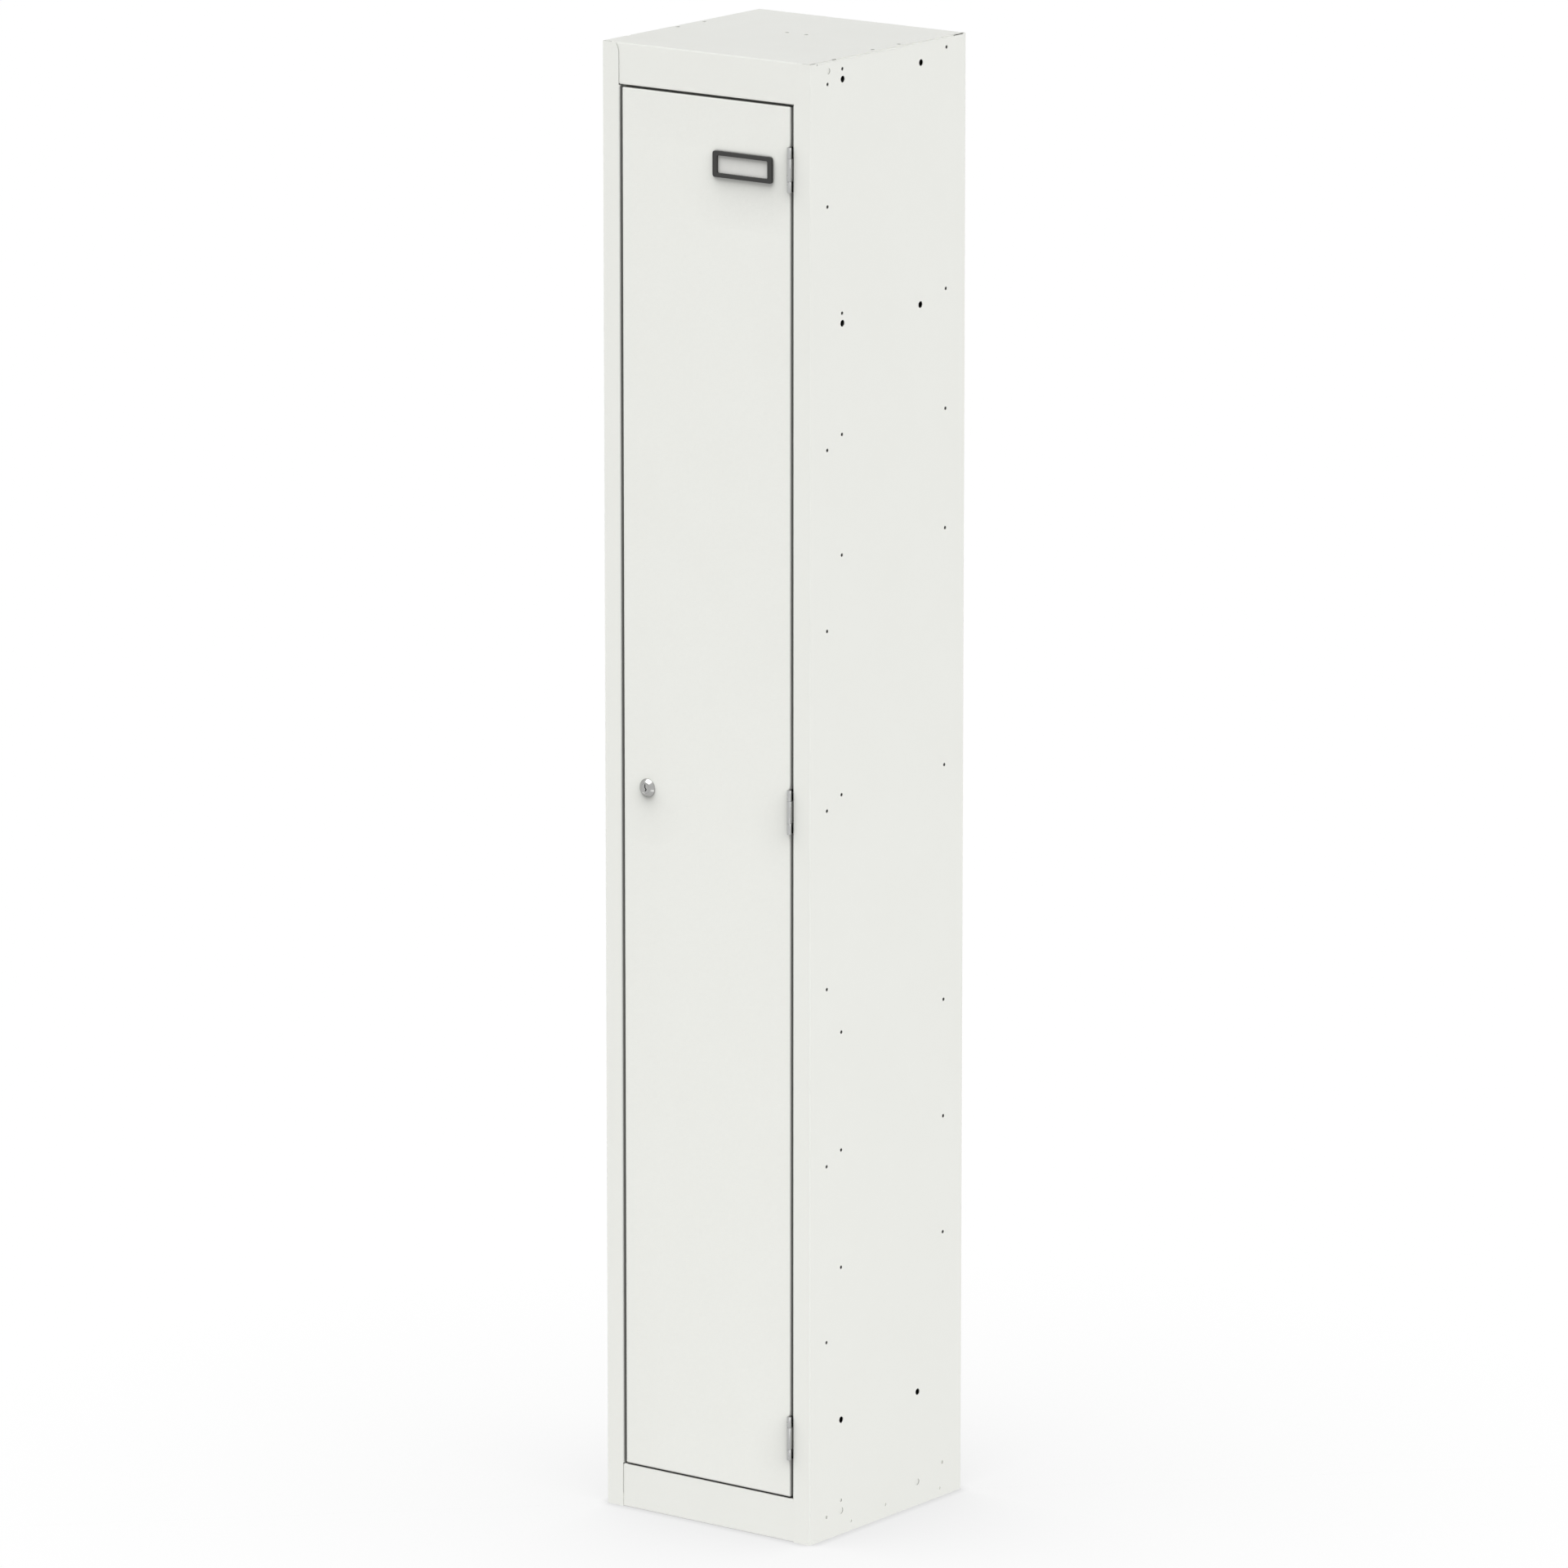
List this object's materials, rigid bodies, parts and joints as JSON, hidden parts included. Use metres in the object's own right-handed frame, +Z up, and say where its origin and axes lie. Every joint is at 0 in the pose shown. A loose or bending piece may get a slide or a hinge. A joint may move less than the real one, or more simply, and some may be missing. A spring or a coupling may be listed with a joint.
{
  "type": "metal locker",
  "caption": "Tall sheet-steel clothes locker with a flush hinged door, cam lock, card frame, hat shelf and coat hook, and punched walls for bolting lockers in a row.",
  "frame": {"origin": "on the floor, in the middle of the overall box", "axes": "+Z up, +Y from the door to the back, +X to the right of someone facing the door"},
  "size_m": [0.305, 0.3108, 1.78],
  "materials": {
    "body_paint": "off-white powder coat, satin, fine grain",
    "hinge_steel": "plain rolled steel, satin",
    "lock_chrome": "bright nickel plate",
    "zinc_steel": "zinc-plated steel",
    "card_frame_plastic": "moulded charcoal plastic, fine satin grain",
    "card_paper": "plain uncoated card",
    "buffer_rubber": "moulded black rubber"
  },
  "bodies": {
    "carcass": {"left_side_panel": "body_paint", "right_side_panel": "body_paint", "top_panel": "body_paint", "base_panel": "body_paint", "back_panel": "body_paint", "hat_shelf": "body_paint", "coat_hook": "zinc_steel", "hook_rivets": "zinc_steel", "door_buffers": "buffer_rubber", "upper_hinge_frame_leaf": "hinge_steel", "middle_hinge_frame_leaf": "hinge_steel", "lower_hinge_frame_leaf": "hinge_steel", "upper_hinge_pin": "hinge_steel", "middle_hinge_pin": "hinge_steel", "lower_hinge_pin": "hinge_steel"},
    "door": {"door_panel": "body_paint", "door_stiffener": "body_paint", "card_frame": "card_frame_plastic", "name_card": "card_paper", "lock_housing": "lock_chrome", "lock_nut": "zinc_steel", "upper_hinge_door_leaf": "hinge_steel", "middle_hinge_door_leaf": "hinge_steel", "lower_hinge_door_leaf": "hinge_steel"},
    "lock_cylinder": {"lock_plug": "lock_chrome", "lock_cam": "zinc_steel", "cam_screw": "zinc_steel"}
  },
  "joints": [
    {"name": "door_swing", "type": "hinge", "parent": "carcass", "child": "door", "pos_m": [0.12415, -0.15257, 0.89145], "axis": [0, 0, 1], "range_deg": [0, 170]},
    {"name": "lock_turn", "type": "hinge", "parent": "door", "child": "lock_cylinder", "pos_m": [-0.0885, -0.14958, 0.89145], "axis": [0, 1, 0], "range_deg": [0, 90]}
  ]
}
